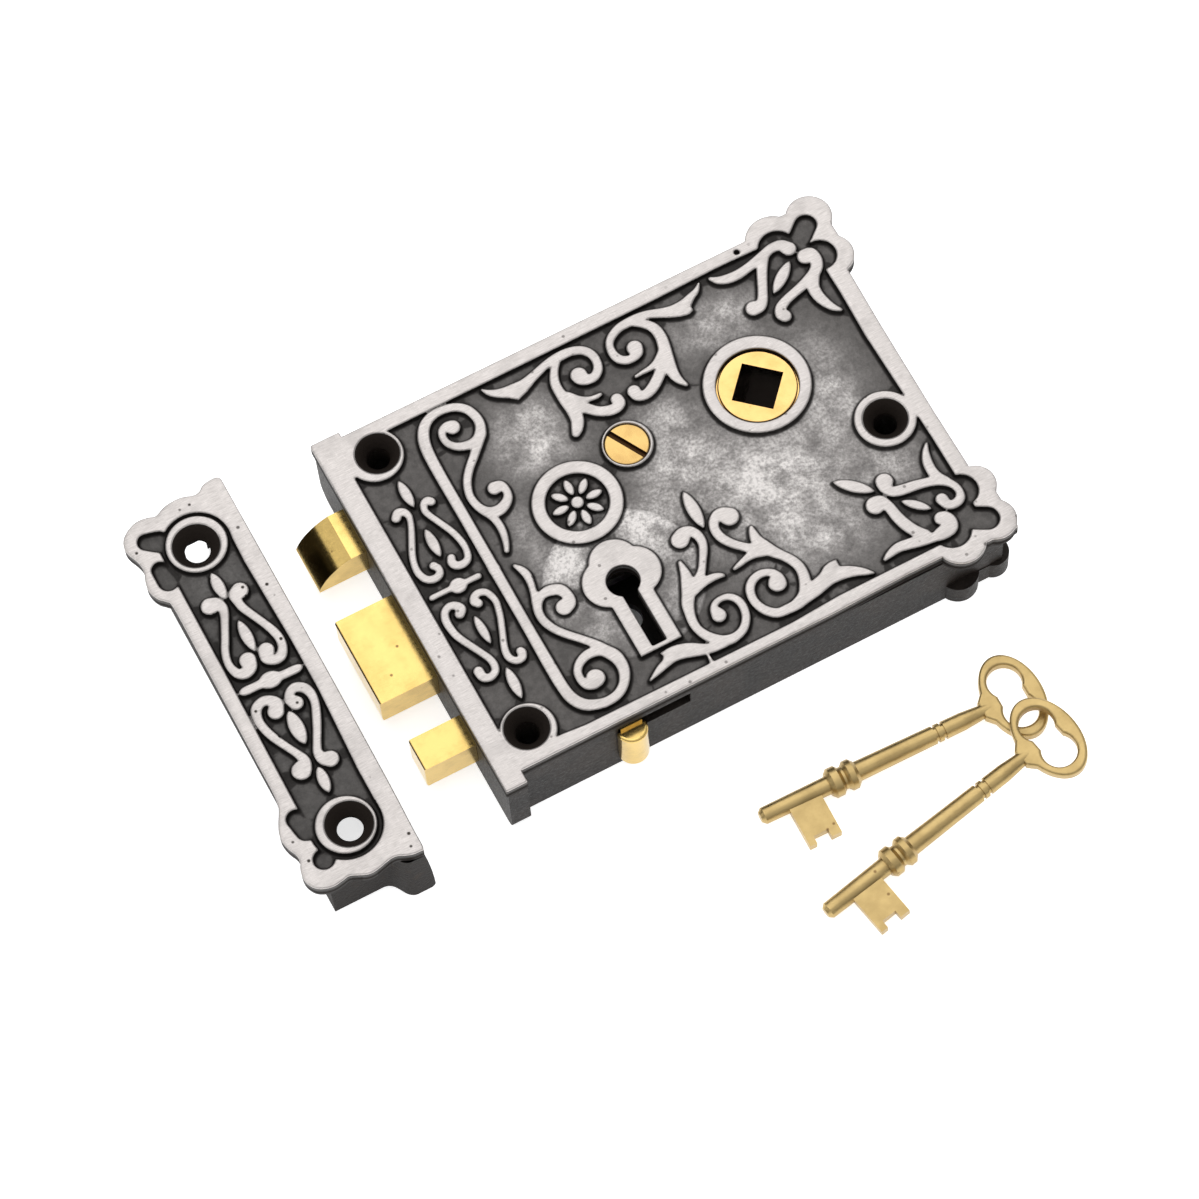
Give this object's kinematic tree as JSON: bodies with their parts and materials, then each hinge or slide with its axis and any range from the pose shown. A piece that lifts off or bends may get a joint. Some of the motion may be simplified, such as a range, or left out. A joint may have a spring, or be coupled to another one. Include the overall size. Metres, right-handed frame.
{
  "type": "rim lock with keep and keys",
  "caption": "Ornate cast-iron surface rim lock with sprung latch, key-worked dead bolt and snib bolt, its box keep and loose brass lever keys",
  "frame": {"origin": "centre of the lock case on its door face, the flat back that is screwed to the door", "axes": "+Z out of the door towards the ornamented cap, +X away from the bolts towards the hinge side, +Y up the door; the keep lies at -X and the keys on the door-face plane at -Y"},
  "size_m": [0.1902, 0.1699, 0.024],
  "materials": {
    "case_iron": "dark oiled cast iron, lightly machined",
    "cap_iron": "cast iron, raised ornament brushed bright, recesses black",
    "keep_iron": "cast iron, raised ornament brushed bright, recesses black",
    "screw_brass": "turned brass",
    "follower_brass": "polished brass",
    "bolt_brass": "polished brass",
    "key_brass": "satin cast brass",
    "lever_brass": "sheet brass",
    "inner_steel": "mild steel, as rolled",
    "spring_steel": "blued spring steel"
  },
  "bodies": {
    "case": {"case": "case_iron", "cap": "cap_iron", "cap_post": "inner_steel", "cap_screw": "screw_brass", "latch_guide_pin": "inner_steel", "bolt_guide_pin": "inner_steel", "lever_pivot": "inner_steel", "lever_washers": "inner_steel", "spring_stop": "inner_steel", "snib_spring": "spring_steel", "latch_spring": "spring_steel"},
    "latch": {"latch_head": "bolt_brass", "latch_tail": "inner_steel", "latch_rivets": "inner_steel"},
    "follower": {"follower": "follower_brass"},
    "deadbolt": {"deadbolt_head": "bolt_brass", "deadbolt_tail": "inner_steel", "deadbolt_rivets": "inner_steel", "bolt_stump": "inner_steel"},
    "lever_1": {"lever_1": "lever_brass", "lever_spring_1": "spring_steel"},
    "lever_2": {"lever_2": "lever_brass", "lever_spring_2": "spring_steel"},
    "snib": {"snib_bolt": "bolt_brass", "snib_knob": "bolt_brass"},
    "keep": {"keep": "keep_iron"},
    "key_1": {"key_1": "key_brass"},
    "key_2": {"key_2": "key_brass"}
  },
  "joints": [
    {"name": "follower_turn", "type": "hinge", "parent": "case", "child": "follower", "pos_m": [0.0338, 0.0125, 0.012], "axis": [0, 0, 1], "range_deg": [-35, 0]},
    {"name": "latch_slide", "type": "slide", "parent": "case", "child": "latch", "axis": [1, 0, 0], "range_m": [0, 0.012], "stiffness_N_per_m": 400, "springref_m": -0.015, "deforming": ["latch_spring"]},
    {"name": "deadbolt_slide", "type": "slide", "parent": "case", "child": "deadbolt", "axis": [1, 0, 0], "range_m": [0, 0.0145]},
    {"name": "lever_1_turn", "type": "hinge", "parent": "case", "child": "lever_1", "pos_m": [0.024, -0.006, 0.0105], "axis": [0, 0, 1], "range_deg": [0, 4.4]},
    {"name": "lever_2_turn", "type": "hinge", "parent": "case", "child": "lever_2", "pos_m": [0.024, -0.006, 0.0129], "axis": [0, 0, 1], "range_deg": [0, 4.4]},
    {"name": "snib_slide", "type": "slide", "parent": "case", "child": "snib", "axis": [1, 0, 0], "range_m": [0, 0.0123]},
    {"name": "keep_slide", "type": "slide", "parent": "case", "child": "keep", "axis": [1, 0, 0], "range_m": [0, 0.0207]},
    {"name": "key_1_draw", "type": "slide", "parent": "case", "child": "key_1", "axis": [-0.9996, 0.0279, 0], "range_m": [0, 0.03]},
    {"name": "key_2_lift", "type": "slide", "parent": "case", "child": "key_2", "axis": [0, 0, 1], "range_m": [0, 0.03]}
  ],
  "couplings": [
    {"joint": "follower_turn", "follows": "latch_slide", "rad_per_m": -50.9}
  ]
}
